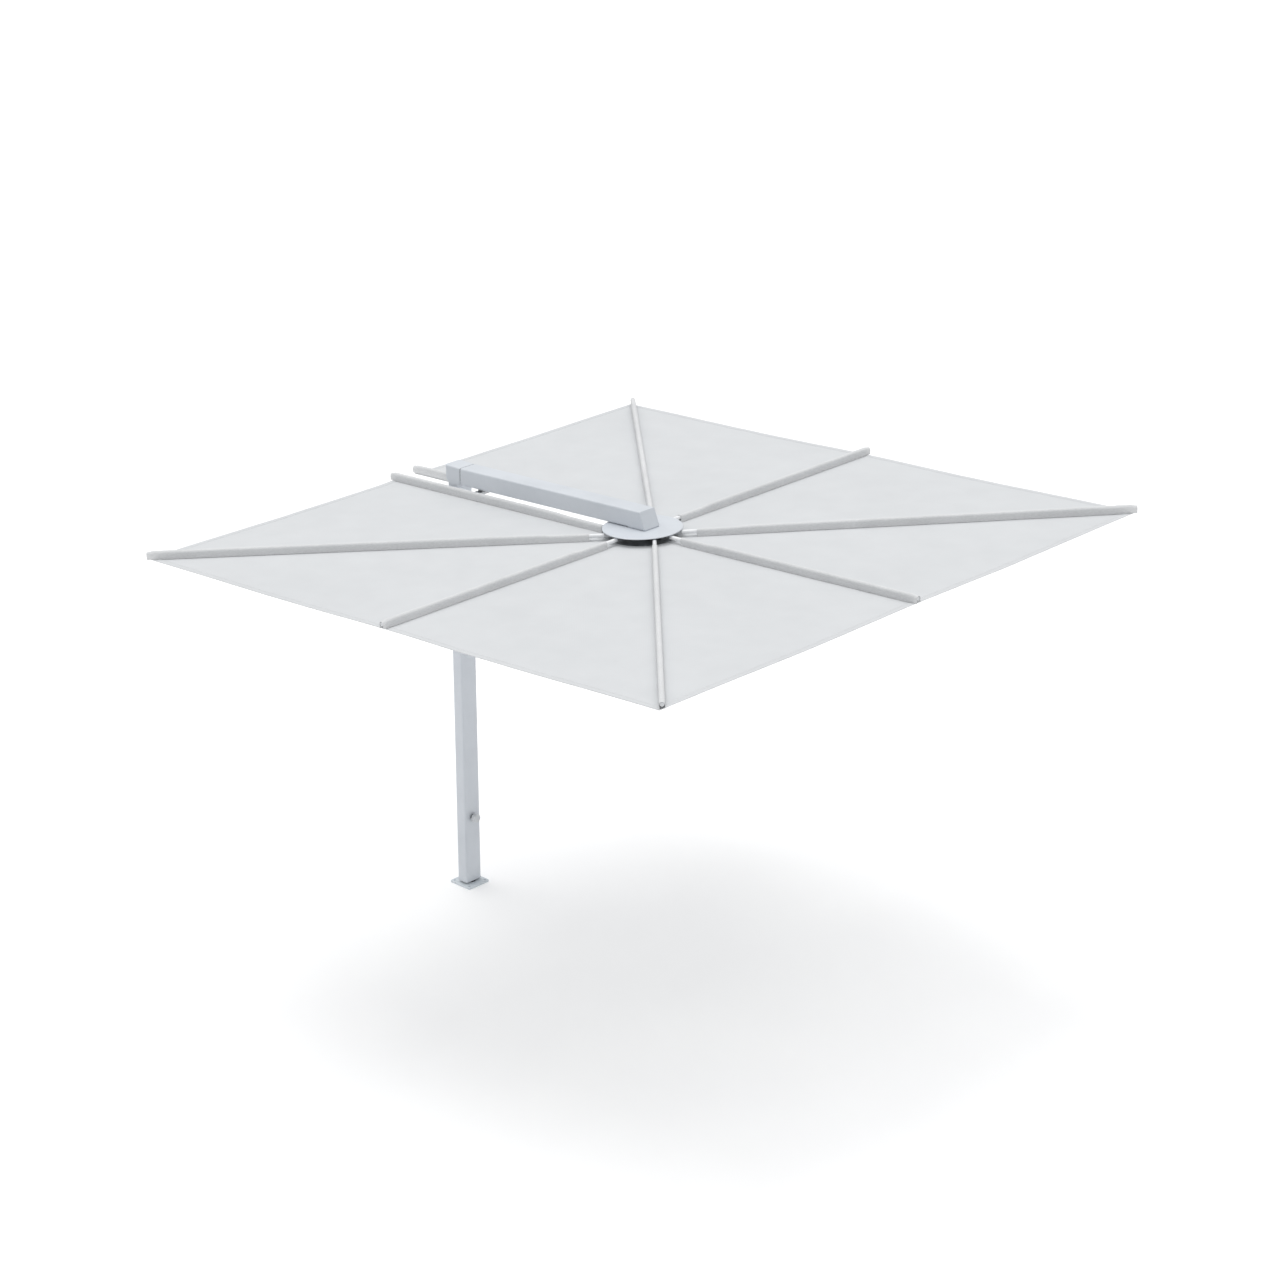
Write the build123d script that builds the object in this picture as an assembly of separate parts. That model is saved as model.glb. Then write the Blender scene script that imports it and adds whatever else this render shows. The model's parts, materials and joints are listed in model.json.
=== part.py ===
from build123d import *
import os
from dataclasses import dataclass
from math import atan2, cos, degrees, hypot, radians, sin, tan

# Cantilever parasol, in millimetres.
# Origin: centre of the base plate's underside. +Z is up, +X runs from the mast
# along the arm to the canopy's hub, +Y is across the arm.
#
# The canopy hangs on a hub frame: its origin is the canopy's centre, x runs along
# the arm away from the mast, and z is the canopy's upward normal.

# ---- Driving dimensions: layout ----
HUB_REACH = 1135.0          # mast axis to the canopy's centre
HUB_HEIGHT = 2020.0         # ground to the fabric at the canopy's centre
CANOPY_RISE = 3.0           # degrees that the arm and canopy climb away from the mast
CANOPY_SIDE = 3000.0        # square of fabric, edge to edge
RUN_GAP = 0.3               # clearance between bodies that pass each other
RUN_FIT = 0.05              # radial clearance of a turning fit

# ---- Base ----
PLATE_SIDE = 130.0
PLATE_THICK = 10.0
PLATE_CORNER = 6.0
BOLT_SPACING = 100.0
BOLT_HOLE = 11.0
POST_DIAMETER = 42.0
POST_WALL = 4.0
POST_HEIGHT = 400.0
WASHER_DIAMETER = 58.0
WASHER_THICK = 8.0

# ---- Mast ----
MAST_X = 60.0
MAST_Y = 95.0
MAST_WALL = 4.0
MAST_CORNER = 8.0
BUSH_HEIGHT = 40.0
BUSH_LEVELS = (20.0, 366.0)
KNOB_LEVEL = 347.0
KNOB_DIAMETER = 40.0
KNOB_LENGTH = 22.0
KNOB_LOBES = 8
COLLAR_DIAMETER = 26.0
COLLAR_LENGTH = 10.5
STUD_DIAMETER = 10.0
SHOE_SIDE = 20.0
SHOE_THICK = 4.3

# ---- Elbow ----
ELBOW_BACK = -45.0          # outer face of the elbow block
SEAM_X = 49.0               # face where the arm meets the block
ELBOW_BOTTOM = 2001.0
ELBOW_TOP = 2085.0
ELBOW_BEVEL = 18.0
SPIGOT_DEPTH = 60.0
PIVOT_Z = 2014.0
TILT_LIMIT = 30.0
KNUCKLE_RADIUS = 11.0
KNUCKLE_WIDTH = 40.0
EAR_OUTER = 38.0            # half width over the block's two ears
SEAL_INSET = 1.2            # the seam's rubber seal stands this far inside the arm's outline
SEAL_GAP = 0.6              # and this far off the arm
PIN_DIAMETER = 12.0
QUADRANT_THICK = 8.0
QUADRANT_RADIUS = 50.0      # pivot to the centre line of the arc slot
QUADRANT_START = 135.0      # direction of the clamp screw, seen from the pivot
QUADRANT_WEB = 12.0
CLAMP_DIAMETER = 12.0
HANDLE_LENGTH = 58.0
HANDLE_THICK = 7.5
HANDLE_GAP = 1.0            # lever to the block; it stays inside the ribs that pass beside it

# ---- Arm, in the hub frame ----
ARM_WIDTH = 95.0
ARM_BOTTOM = 42.0
ARM_TOP = 122.0
ARM_WALL = 4.0
ARM_CORNER = 8.0
SEAM_GAP = 4.0
NOSE_JOINT = -40.0          # where the tube ends and the nose casting starts
NOSE_LOW = 60.0             # reach of the nose at the disc
NOSE_HIGH = 30.0            # reach of the nose at its top
INSERT_LENGTH = 90.0
INSERT_GAP = 0.2            # clearance of a spigot or insert in its tube

# ---- Hub, in the hub frame ----
DISC_DIAMETER = 350.0
DISC_LOW = 35.5
DISC_TOP = 39.5
LOWER_PLATE_LOW = -6.5      # both plates clear the fabric and sleeves that fold between them
LOWER_PLATE_TOP = -2.5
PIVOT_PIN_DIAMETER = 8.0
PIVOT_PIN_BITE = 2.5
BOLT_BITE = 20.0            # depth of a hub bolt in the nose casting
SPACER_DIAMETER = 14.0
SPACER_SPOTS = ((-28.0, 24.0), (-125.0, 32.0))

# ---- Ribs ----
ROD_DIAMETER = 18.0
ROD_BORE = 14.0
ROD_HEIGHT = 22.0           # rod centre above the fabric
ROD_OVERHANG = 8.0
FOLD_PITCH = 20.2           # spacing of the folded ribs across the arm
ROOT_WIDTH = 16.0
ROOT_REACH = 165.0          # where the root's body ends and the rod starts
ROOT_SPIGOT = 35.0
CRANK_RUN = 35.0            # length of the step between a cranked root's eye and its rod
EYE_RADIUS = 8.5
PAD_LENGTH = 40.0           # part of the centre rib's root that the two plates clamp
DIAGONAL_TURN = 1.0         # degrees that a diagonal rib is turned past 45 and 135
DIAGONAL_OFFSET = 48.0      # distance from the hub's centre to a diagonal rib's line
GUARD_OFFSET = 70.0         # the same for the two ribs beside the mast
GUARD_ROW = 101.0           # where those two lie when folded
CAP_HEAD = 4.0
CAP_SPIGOT = 20.0

# ---- Fabric ----
FABRIC_THICK = 2.0
FABRIC_HOLE = 151.0         # radius of the opening at the hub
SLOT_HALF = 57.5            # half width of the slot that the mast passes through
PANEL_GAP = 0.6
SLEEVE_WIDTH = 25.0
SLEEVE_START = 230.0
GUARD_SLEEVE_START = 168.0
SLEEVE_OVERHANG = 14.0
POCKET_RADIUS = 9.8

# ---- Rib catch ----
CATCH_REACH = 160.0         # mast axis to the catch
CATCH_LENGTH = 35.0
CATCH_BAR = (16.0, 28.0)
CATCH_STEM = 50.0

HUB = Location((HUB_REACH, 0, HUB_HEIGHT), (0, -CANOPY_RISE, 0))
HALF_SIDE = CANOPY_SIDE / 2
MAST_IN_HUB = -HUB_REACH / cos(radians(CANOPY_RISE))


def polar(radius, angle):
    return radius * cos(radians(angle)), radius * sin(radians(angle))


@dataclass
class Rib:
    """A rib of the left wing: its line, its pin and the slice of fabric it carries."""
    name: str
    angle: float            # direction in the hub frame, degrees
    offset: float           # distance from the hub's centre to the rib's line, on its clockwise side
    pin: tuple              # place of its pivot pin in the hub frame
    slice_start: float      # fabric between these two directions
    slice_end: float
    sleeve_start: float = SLEEVE_START

    def foot(self):
        """The point of the line that is nearest to the hub's centre."""
        return polar(self.offset, self.angle - 90)

    def pin_on_line(self):
        """The pin's distance along the line, and out to its left."""
        x, y = self.pin[0] - self.foot()[0], self.pin[1] - self.foot()[1]
        along, left = polar(1, self.angle)
        return x * along + y * left, y * along - x * left

    def reach(self):
        """Distance along the line to the fabric's edge."""
        spans = zip(polar(1, self.angle), self.foot())
        return min((HALF_SIDE * (1 if step > 0 else -1) - start) / step
                   for step, start in spans if abs(step) > 0.01)


def pin_on_rib(angle, offset, row):
    """The pin on a rib's own line, about which it turns to lie along the arm in the given row."""
    foot_x, foot_y = polar(offset, angle - 90)
    return foot_x + (row - foot_y) / tan(radians(angle)), row


def pin_beside_rib(angle, offset, row, x):
    """The same for a pin that stands at x along the arm, beside the rib's line."""
    across_x, across_y = polar(1, angle - 90)
    return x, (row + offset - x * across_x) / (1 + across_y)


CENTRE_RIB = Rib("centre_rib", 0, 0, (20.0, 0.0), -22.5, 22.5)
FRONT_ANGLE = 45 + DIAGONAL_TURN
REAR_ANGLE = 135 + DIAGONAL_TURN
WING_RIBS = [
    Rib("front_rib", FRONT_ANGLE, DIAGONAL_OFFSET,
        pin_on_rib(FRONT_ANGLE, DIAGONAL_OFFSET, FOLD_PITCH), 22.5, 67.5),
    Rib("side_rib", 90, 0, pin_on_rib(90, 0, 2 * FOLD_PITCH), 67.5, 112.5),
    Rib("rear_rib", REAR_ANGLE, DIAGONAL_OFFSET,
        pin_beside_rib(REAR_ANGLE, DIAGONAL_OFFSET, 3 * FOLD_PITCH, -40.0), 112.5, 153.5),
    Rib("mast_rib", 180, GUARD_OFFSET, pin_beside_rib(180, GUARD_OFFSET, GUARD_ROW, -110.0), 153.5, 180,
        GUARD_SLEEVE_START),
]
SIDES = (("left", 1), ("right", -1))


# ---- Shape helpers ----

def block(x, y, z):
    """A box between the low and high value of each axis."""
    spans = (x, y, z)
    size = [high - low for low, high in spans]
    centre = [(high + low) / 2 for low, high in spans]
    return Pos(*centre) * Box(*size)


def bar(start, direction, length, radius):
    """A round bar from start along direction."""
    return extrude(Plane(origin=start, z_dir=direction) * Circle(radius), length)


def pipe(start, direction, length, outer, inner):
    """A round pipe from start along direction."""
    return extrude(Plane(origin=start, z_dir=direction) * (Circle(outer) - Circle(inner)), length)


def save(name, shape):
    """Write one node; a list becomes a group of separate solids."""
    solids = Compound(children=list(shape)) if isinstance(shape, (list, tuple)) else shape
    export_step(solids, f"parts/{name}.step")


# ---- Base ----

def make_base():
    half = BOLT_SPACING / 2
    outline = RectangleRounded(PLATE_SIDE, PLATE_SIDE, PLATE_CORNER)
    holes = [Pos(x, y) * Circle(BOLT_HOLE / 2) for x in (-half, half) for y in (-half, half)]
    plate = extrude(outline - holes, PLATE_THICK)
    save("base_plate", chamfer(plate.edges().filter_by(Axis.Z, reverse=True).group_by(Axis.Z)[-1], 1))
    radius = POST_DIAMETER / 2
    post = pipe((0, 0, PLATE_THICK), (0, 0, 1), POST_HEIGHT, radius, radius - POST_WALL)
    save("base_post", chamfer(post.edges().group_by(Axis.Z)[-1].sort_by(SortBy.LENGTH)[-1], 1.5))
    washer_height = WASHER_THICK - RUN_GAP
    save("thrust_washer", pipe((0, 0, PLATE_THICK), (0, 0, 1), washer_height,
                               WASHER_DIAMETER / 2, radius + RUN_FIT))


# ---- Mast ----

MAST_BOTTOM = PLATE_THICK + WASHER_THICK


def mast_bore(clearance=0.0):
    """Profile of the mast's hollow, smaller all round by clearance."""
    shrink = 2 * (MAST_WALL + clearance)
    return RectangleRounded(MAST_X - shrink, MAST_Y - shrink, MAST_CORNER - MAST_WALL)


def make_mast_tube():
    profile = RectangleRounded(MAST_X, MAST_Y, MAST_CORNER) - mast_bore()
    tube = extrude(Pos(0, 0, MAST_BOTTOM) * profile, ELBOW_BOTTOM - MAST_BOTTOM)
    tube -= bar((0, 0, KNOB_LEVEL), (1, 0, 0), MAST_X, STUD_DIAMETER / 2 + 3)
    save("mast_tube", tube)


def make_bushes():
    section = mast_bore() - Circle(POST_DIAMETER / 2 + RUN_FIT)
    for name, level in zip(("lower_bush", "upper_bush"), BUSH_LEVELS):
        save(name, extrude(Pos(0, 0, level) * section, BUSH_HEIGHT))


def make_knob():
    """Swivel lock: collar and shoe stay on the mast, knob and stud turn."""
    face = MAST_X / 2
    inner_face = face - MAST_WALL
    bore = STUD_DIAMETER / 2 + RUN_FIT
    axis = (1, 0, 0)
    collar = bar((face, 0, KNOB_LEVEL), axis, COLLAR_LENGTH, COLLAR_DIAMETER / 2)
    collar += bar((inner_face, 0, KNOB_LEVEL), axis, MAST_WALL, STUD_DIAMETER / 2 + 3)
    collar -= bar((0, 0, KNOB_LEVEL), axis, MAST_X, bore)
    save("knob_collar", collar)

    post_radius = POST_DIAMETER / 2 + RUN_GAP
    side = SHOE_SIDE / 2
    shoe = block((10, post_radius + SHOE_THICK), (-side, side), (KNOB_LEVEL - side, KNOB_LEVEL + side))
    save("clamp_shoe", shoe - bar((0, 0, 0), (0, 0, 1), POST_HEIGHT + MAST_X, post_radius))

    stud_start = post_radius + SHOE_THICK + RUN_GAP
    knob_start = face + COLLAR_LENGTH + RUN_GAP
    stud_length = knob_start + KNOB_LENGTH / 2 - stud_start
    save("lock_stud", bar((stud_start, 0, KNOB_LEVEL), axis, stud_length, STUD_DIAMETER / 2))
    save("lock_knob", make_knob_body(knob_start, stud_start, stud_length))


def make_knob_body(knob_start, stud_start, stud_length):
    axis = (1, 0, 0)
    grip = bar((knob_start, 0, KNOB_LEVEL), axis, KNOB_LENGTH, KNOB_DIAMETER / 2)
    grip = fillet(grip.edges().group_by(Axis.X)[-1], 3)
    for lobe in range(KNOB_LOBES):
        y, z = polar(KNOB_DIAMETER / 2 + 3, 360 * (lobe + 0.5) / KNOB_LOBES)
        grip -= bar((knob_start, y, KNOB_LEVEL + z), axis, KNOB_LENGTH, 5)
    return grip - bar((stud_start, 0, KNOB_LEVEL), axis, stud_length, STUD_DIAMETER / 2)


# ---- Elbow ----

PIVOT = (SEAM_X, 0, PIVOT_Z)
SCREW_X = SEAM_X + polar(QUADRANT_RADIUS, QUADRANT_START)[0]
SCREW_Z = PIVOT_Z + polar(QUADRANT_RADIUS, QUADRANT_START)[1]
HANDLE_FACE = MAST_Y / 2 + HANDLE_GAP


def across(y_low, y_high, radius, x=SEAM_X, z=PIVOT_Z):
    """A round bar along Y, on the pivot's axis unless placed elsewhere."""
    return bar((x, y_low, z), (0, 1, 0), y_high - y_low, radius)


def pivot_sector(radius, start, end, half_width):
    """A slice of a disc about the pivot, from start to end degrees, in the XZ plane."""
    far = 2 * radius
    corners = [(SEAM_X, PIVOT_Z)]
    for step in range(4):
        x, z = polar(far, start + (end - start) * step / 3)
        corners.append((SEAM_X + x, PIVOT_Z + z))
    face = make_face(Polyline(*[(x, 0, z) for x, z in corners], close=True))
    wedge = extrude(face, half_width, dir=(0, 1, 0), both=True)
    return wedge & across(-half_width, half_width, radius)


def make_elbow_block():
    half = MAST_Y / 2
    outline = [(SEAM_X, ELBOW_BOTTOM), (SEAM_X, ELBOW_TOP), (ELBOW_BACK, ELBOW_TOP),
               (ELBOW_BACK, ELBOW_BOTTOM + ELBOW_BEVEL), (ELBOW_BACK + ELBOW_BEVEL * 0.8, ELBOW_BOTTOM)]
    face = make_face(Polyline(*[(x, 0, z) for x, z in outline], close=True))
    body = extrude(face, half, dir=(0, 1, 0), both=True)
    long_edges = [edge for edge in body.edges() if abs(edge.center().Y) > half - 1]
    rounded = [edge for edge in long_edges
               if edge.center().X < SEAM_X - 1 and edge.center().Z > ELBOW_BOTTOM + 1]
    body = fillet(rounded, MAST_CORNER)
    body += extrude(Pos(0, 0, ELBOW_BOTTOM - SPIGOT_DEPTH) * mast_bore(INSERT_GAP), SPIGOT_DEPTH)

    pocket = KNUCKLE_WIDTH / 2 + RUN_GAP
    body += across(pocket, EAR_OUTER, KNUCKLE_RADIUS)
    body += across(-EAR_OUTER, -pocket, KNUCKLE_RADIUS)
    body -= across(-pocket, pocket, KNUCKLE_RADIUS + RUN_GAP)
    slot_reach = QUADRANT_RADIUS + QUADRANT_WEB + 0.5
    slot_start = QUADRANT_START - TILT_LIMIT - 20
    body -= pivot_sector(slot_reach, slot_start, 181, QUADRANT_THICK / 2 + RUN_GAP)
    body -= across(-EAR_OUTER, EAR_OUTER, PIN_DIAMETER / 2)
    body -= across(-30, half + 1, CLAMP_DIAMETER / 2 + RUN_FIT, SCREW_X, SCREW_Z)
    save("elbow_block", body)


def make_seam_seal():
    """Rubber seal on the block's face, in two halves beside the tilt quadrant."""
    x = (SEAM_X, SEAM_X + SEAM_GAP - SEAL_GAP)
    z = (PIVOT_Z + KNUCKLE_RADIUS + 1.5, ELBOW_TOP - SEAL_INSET)
    inner, outer = QUADRANT_THICK / 2 + 1, MAST_Y / 2 - SEAL_INSET
    half = block(x, (inner, outer), z)
    corner = half.edges().filter_by(Axis.X).sort_by(lambda edge: edge.center().Y + edge.center().Z)[-1]
    half = fillet(corner, MAST_CORNER - SEAL_INSET)
    save("seam_seal", [half, mirror(half, about=Plane.XZ)])


def make_elbow_screws():
    """Four cap screws that hold the block's spigot in the mast, on the outer face."""
    face = -MAST_X / 2
    screws = []
    for y in (-26, 26):
        for z in (ELBOW_BOTTOM - 18, ELBOW_BOTTOM - 44):
            head = bar((face, y, z), (-1, 0, 0), 4, 6.5)
            head = fillet(head.edges().group_by(Axis.X)[0], 2.5)
            head -= extrude(Plane(origin=(face - 4, y, z), z_dir=(1, 0, 0)) * RegularPolygon(2.4, 6), 2.4)
            screws.append(head)
    save("elbow_screws", screws)


def make_tilt_clamp():
    """Clamp screw through the block and the lever that tightens it."""
    save("pivot_pin", across(-EAR_OUTER, EAR_OUTER, PIN_DIAMETER / 2))
    screw = across(-29, HANDLE_FACE + HANDLE_THICK / 2, CLAMP_DIAMETER / 2, SCREW_X, SCREW_Z)
    save("tilt_screw", screw)
    outer = HANDLE_FACE + HANDLE_THICK
    handle = across(HANDLE_FACE, outer, 15, SCREW_X, SCREW_Z)
    tip = SCREW_X - HANDLE_LENGTH
    handle += block((tip, SCREW_X), (HANDLE_FACE + 2, outer), (SCREW_Z - 6, SCREW_Z + 6))
    handle += across(HANDLE_FACE + 2, outer, 8, tip, SCREW_Z)
    handle = fillet(handle.edges().group_by(Axis.Y)[-1], 2)
    save("tilt_handle", handle - screw)


# ---- Arm ----

def arm_section(start, end, inset, bottom=ARM_BOTTOM, corner=ARM_CORNER):
    """The arm's box profile between two stations, shrunk by inset on every side."""
    height = ARM_TOP - bottom - 2 * inset
    plane = Plane(origin=(start, 0, (ARM_TOP + bottom) / 2), x_dir=(0, 1, 0), z_dir=(1, 0, 0))
    profile = RectangleRounded(ARM_WIDTH - 2 * inset, height, max(corner - inset, 1))
    return HUB * extrude(plane * profile, end - start)


ARM_BACK = MAST_IN_HUB      # the tube is drawn from the mast and trimmed at the seam
RELIEF_ANGLE = TILT_LIMIT + 2


def behind_seam(gap):
    """Everything on the mast's side of the seam."""
    return block((-200, SEAM_X + gap), (-200, 200), (1900, 2200))


def tilt_relief():
    """The wedge cut off the arm's lower back edge so that it clears the block."""
    drop = 60.0
    points = [(SEAM_X, PIVOT_Z), (SEAM_X, PIVOT_Z - drop),
              (SEAM_X + drop * tan(radians(RELIEF_ANGLE)) + 1, PIVOT_Z - drop), (SEAM_X + 1, PIVOT_Z)]
    face = make_face(Polyline(*[(x, 0, z) for x, z in points], close=True))
    return extrude(face, MAST_Y, dir=(0, 1, 0), both=True)


def ear_recess():
    pocket = KNUCKLE_WIDTH / 2 + RUN_GAP
    outer = EAR_OUTER + RUN_GAP
    radius = KNUCKLE_RADIUS + RUN_GAP
    return across(pocket - 0.3, outer, radius) + across(-outer, -pocket + 0.3, radius)


def make_arm_tube():
    tube = arm_section(ARM_BACK, NOSE_JOINT, 0) - arm_section(ARM_BACK, NOSE_JOINT, ARM_WALL)
    knuckle_slot = across(-KNUCKLE_WIDTH / 2 - 0.6, KNUCKLE_WIDTH / 2 + 0.6, KNUCKLE_RADIUS + 0.2)
    tube -= behind_seam(SEAM_GAP) + tilt_relief() + ear_recess() + knuckle_slot
    save("arm_tube", tube)


def make_arm_root():
    """Casting inside the arm's end, with the hinge knuckle under it."""
    start = (SEAM_X - HUB_REACH) / cos(radians(CANOPY_RISE)) - 10
    insert = arm_section(start, start + INSERT_LENGTH, ARM_WALL + INSERT_GAP)
    insert -= behind_seam(SEAM_GAP) + tilt_relief() + ear_recess()
    half = KNUCKLE_WIDTH / 2
    neck = block((SEAM_X + SEAM_GAP, SEAM_X + 30), (-half, half), (PIVOT_Z, PIVOT_Z + 20))
    body = insert + (across(-half, half, KNUCKLE_RADIUS) + (neck - tilt_relief()))
    body -= across(-half, half, PIN_DIAMETER / 2 + RUN_FIT)
    slot = QUADRANT_THICK / 2
    save("arm_root", body - pivot_sector(QUADRANT_RADIUS, 1, 179, slot))
    save("tilt_quadrant", make_quadrant(slot))


def make_quadrant(half):
    """Plate on the knuckle, with the arc slot that the clamp screw runs in."""
    outer = QUADRANT_RADIUS + QUADRANT_WEB
    start = QUADRANT_START - 12
    end = QUADRANT_START + TILT_LIMIT + 11
    plate = pivot_sector(outer, start, end, half)
    plate += pivot_sector(QUADRANT_RADIUS - 0.3, 20, 160, half)
    plate -= across(-half, half, PIN_DIAMETER / 2 + 0.5)
    width = CLAMP_DIAMETER / 2 + RUN_GAP
    ring = across(-half, half, QUADRANT_RADIUS + width) - across(-half, half, QUADRANT_RADIUS - width)
    sweep = pivot_sector(outer + 5, QUADRANT_START, QUADRANT_START + TILT_LIMIT, half)
    plate -= ring & sweep
    for angle in (QUADRANT_START, QUADRANT_START + TILT_LIMIT):
        x, z = polar(QUADRANT_RADIUS, angle)
        plate -= across(-half, half, width, SEAM_X + x, PIVOT_Z + z)
    return plate


def make_arm_nose():
    """End casting: a saddle that stands on the disc, with a spigot in the tube."""
    body = arm_section(NOSE_JOINT, NOSE_LOW + 30, 0, DISC_TOP)
    body = HUB.inverse() * body
    slope = [(NOSE_LOW, DISC_TOP), (NOSE_HIGH, ARM_TOP), (NOSE_HIGH, ARM_TOP + 20),
             (NOSE_LOW + 60, ARM_TOP + 20), (NOSE_LOW + 60, DISC_TOP - 5), (NOSE_LOW, DISC_TOP - 5)]
    face = make_face(Polyline(*[(x, 0, z) for x, z in slope], close=True))
    body -= extrude(face, ARM_WIDTH, dir=(0, 1, 0), both=True)
    body = fillet(body.faces().sort_by(Axis.X)[-1].edges(), 5)
    spigot = HUB.inverse() * arm_section(NOSE_JOINT - 60, NOSE_JOINT, ARM_WALL + INSERT_GAP)
    body += spigot
    for x, y in spacer_spots():
        if x > NOSE_JOINT:
            body -= bar((x, y, DISC_TOP), (0, 0, 1), BOLT_BITE + 10, PIVOT_PIN_DIAMETER / 2)
    save("arm_nose", HUB * body)


# ---- Hub ----

def spacer_spots():
    return [(x, side * y) for x, y in SPACER_SPOTS for _, side in SIDES]


def rib_line(rib, side):
    """Frame of one rib: x along it, origin beside the hub's centre."""
    x, y = rib.foot()
    return Location((x, side * y, 0), (0, 0, side * rib.angle))


def pin_spots():
    return [(rib.pin[0], side * rib.pin[1]) for rib in WING_RIBS for _, side in SIDES]


def make_hub():
    disc = bar((0, 0, DISC_LOW), (0, 0, 1), DISC_TOP - DISC_LOW, DISC_DIAMETER / 2)
    disc = fillet(disc.edges().group_by(Axis.Z)[-1], 2)
    plate = bar((0, 0, LOWER_PLATE_LOW), (0, 0, 1), LOWER_PLATE_TOP - LOWER_PLATE_LOW,
                DISC_DIAMETER / 2)
    pin_radius = PIVOT_PIN_DIAMETER / 2
    pins = []
    for x, y in pin_spots():
        pin = bar((x, y, LOWER_PLATE_LOW), (0, 0, 1), DISC_LOW + PIVOT_PIN_BITE - LOWER_PLATE_LOW,
                  pin_radius)
        disc -= pin
        plate -= pin
        pins.append(HUB * (pin + bar((x, y, LOWER_PLATE_LOW - 2), (0, 0, 1), 2, pin_radius + 2.5)))
    bolts = []
    for x, y in spacer_spots():
        top = DISC_TOP + BOLT_BITE if x > NOSE_JOINT else DISC_LOW + PIVOT_PIN_BITE
        shank = bar((x, y, LOWER_PLATE_LOW), (0, 0, 1), top - LOWER_PLATE_LOW, pin_radius)
        disc -= shank
        plate -= shank
        spacer = bar((x, y, LOWER_PLATE_TOP), (0, 0, 1), DISC_LOW - LOWER_PLATE_TOP, SPACER_DIAMETER / 2)
        head = bar((x, y, LOWER_PLATE_LOW - 5), (0, 0, 1), 5, 6.5)
        bolts.append(HUB * (shank + spacer + head))
    save("hub_disc", HUB * disc)
    save("hub_plate", HUB * plate)
    save("hub_fasteners", pins + bolts)


def make_rib_catch():
    """Stem under the arm with a cross bar that steadies the two ribs beside the mast."""
    centre = MAST_IN_HUB + CATCH_REACH
    x = (centre - CATCH_LENGTH / 2, centre + CATCH_LENGTH / 2)
    half = GUARD_OFFSET - SLEEVE_WIDTH / 2 - 0.6
    low, high = CATCH_BAR
    stem = block((x[0] + 4, x[1] - 4), (-CATCH_STEM / 2, CATCH_STEM / 2), (high, ARM_BOTTOM))
    catch = fillet(block(x, (-half, half), (low, high)).edges().filter_by(Axis.Z), 5)
    save("rib_catch", HUB * (catch + stem))


# ---- Ribs and fabric ----

def make_rib_root(rib, side):
    """Casting from the pivot pin to the rod, stepped sideways where the pin isn't on the rod's line."""
    half_width = ROOT_WIDTH / 2
    depth = (ROD_HEIGHT - half_width, ROD_HEIGHT + half_width)
    along, left = rib.pin_on_line()
    left *= side
    cranked = abs(left) > 1
    start = along + CRANK_RUN if cranked else along
    root = fillet(block((start, ROOT_REACH), (-half_width, half_width), depth).edges().filter_by(Axis.X), 3)
    if cranked:
        step = Location((along, left, 0), (0, 0, degrees(atan2(-left, CRANK_RUN))))
        root += step * block((0, hypot(CRANK_RUN, left)), (-half_width, half_width), depth)
        root += bar((start, 0, depth[0]), (0, 0, 1), ROOT_WIDTH, half_width)
    if rib is CENTRE_RIB:
        root += block((start, start + PAD_LENGTH), (-half_width, half_width), (LOWER_PLATE_TOP, DISC_LOW))
    else:
        boss_low = LOWER_PLATE_TOP + RUN_GAP
        root += bar((along, left, boss_low), (0, 0, 1), DISC_LOW - RUN_GAP - boss_low, EYE_RADIUS)
        root -= bar((along, left, LOWER_PLATE_LOW), (0, 0, 1), DISC_TOP - LOWER_PLATE_LOW,
                    PIVOT_PIN_DIAMETER / 2 + RUN_FIT)
    return root + bar((ROOT_REACH, 0, ROD_HEIGHT), (1, 0, 0), ROOT_SPIGOT, ROD_BORE / 2)


def make_rod(rib):
    length = rib.reach() + ROD_OVERHANG - ROOT_REACH
    return pipe((ROOT_REACH, 0, ROD_HEIGHT), (1, 0, 0), length, ROD_DIAMETER / 2, ROD_BORE / 2)


def make_cap(rib):
    """Plastic plug in the rod's tip, inside the sleeve's mouth."""
    end = rib.reach() + ROD_OVERHANG
    head = bar((end, 0, ROD_HEIGHT), (1, 0, 0), CAP_HEAD, ROD_DIAMETER / 2)
    head = fillet(head.edges().group_by(Axis.X)[-1], 2)
    return head + bar((end - CAP_SPIGOT, 0, ROD_HEIGHT), (1, 0, 0), CAP_SPIGOT, ROD_BORE / 2)


def fabric_slice(rib, side):
    """Plan of the flat fabric that one rib carries."""
    middle = (rib.slice_start + rib.slice_end) / 2
    apex = polar(PANEL_GAP, middle)
    far = 3 * CANOPY_SIDE
    corners = [apex]
    for angle in (rib.slice_start, middle, rib.slice_end):
        x, y = polar(far, angle)
        corners.append((apex[0] + x, apex[1] + y))
    wedge = make_face(Polyline(*[(x, side * y) for x, y in corners], close=True))
    plan = Rectangle(CANOPY_SIDE, CANOPY_SIDE) & wedge
    plan -= Circle(FABRIC_HOLE)
    return plan - Pos(-HALF_SIDE, 0) * Rectangle(CANOPY_SIDE, 2 * SLOT_HALF)


def make_panel(rib, side):
    """Flat fabric with the sleeve sewn on top of it, both as one soft solid."""
    sheet = extrude(Pos(0, 0, -FABRIC_THICK / 2) * fabric_slice(rib, side), FABRIC_THICK)
    start = rib.sleeve_start
    length = rib.reach() + SLEEVE_OVERHANG - start
    half = SLEEVE_WIDTH / 2
    sleeve = block((start, start + length), (-half, half), (0, ROD_HEIGHT))
    sleeve += bar((start, 0, ROD_HEIGHT), (1, 0, 0), length, half)
    pocket = bar((start - 1, 0, ROD_HEIGHT), (1, 0, 0), length + 2, POCKET_RADIUS)
    line = rib_line(rib, side)
    return (sheet + line * sleeve) - line * pocket


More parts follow.
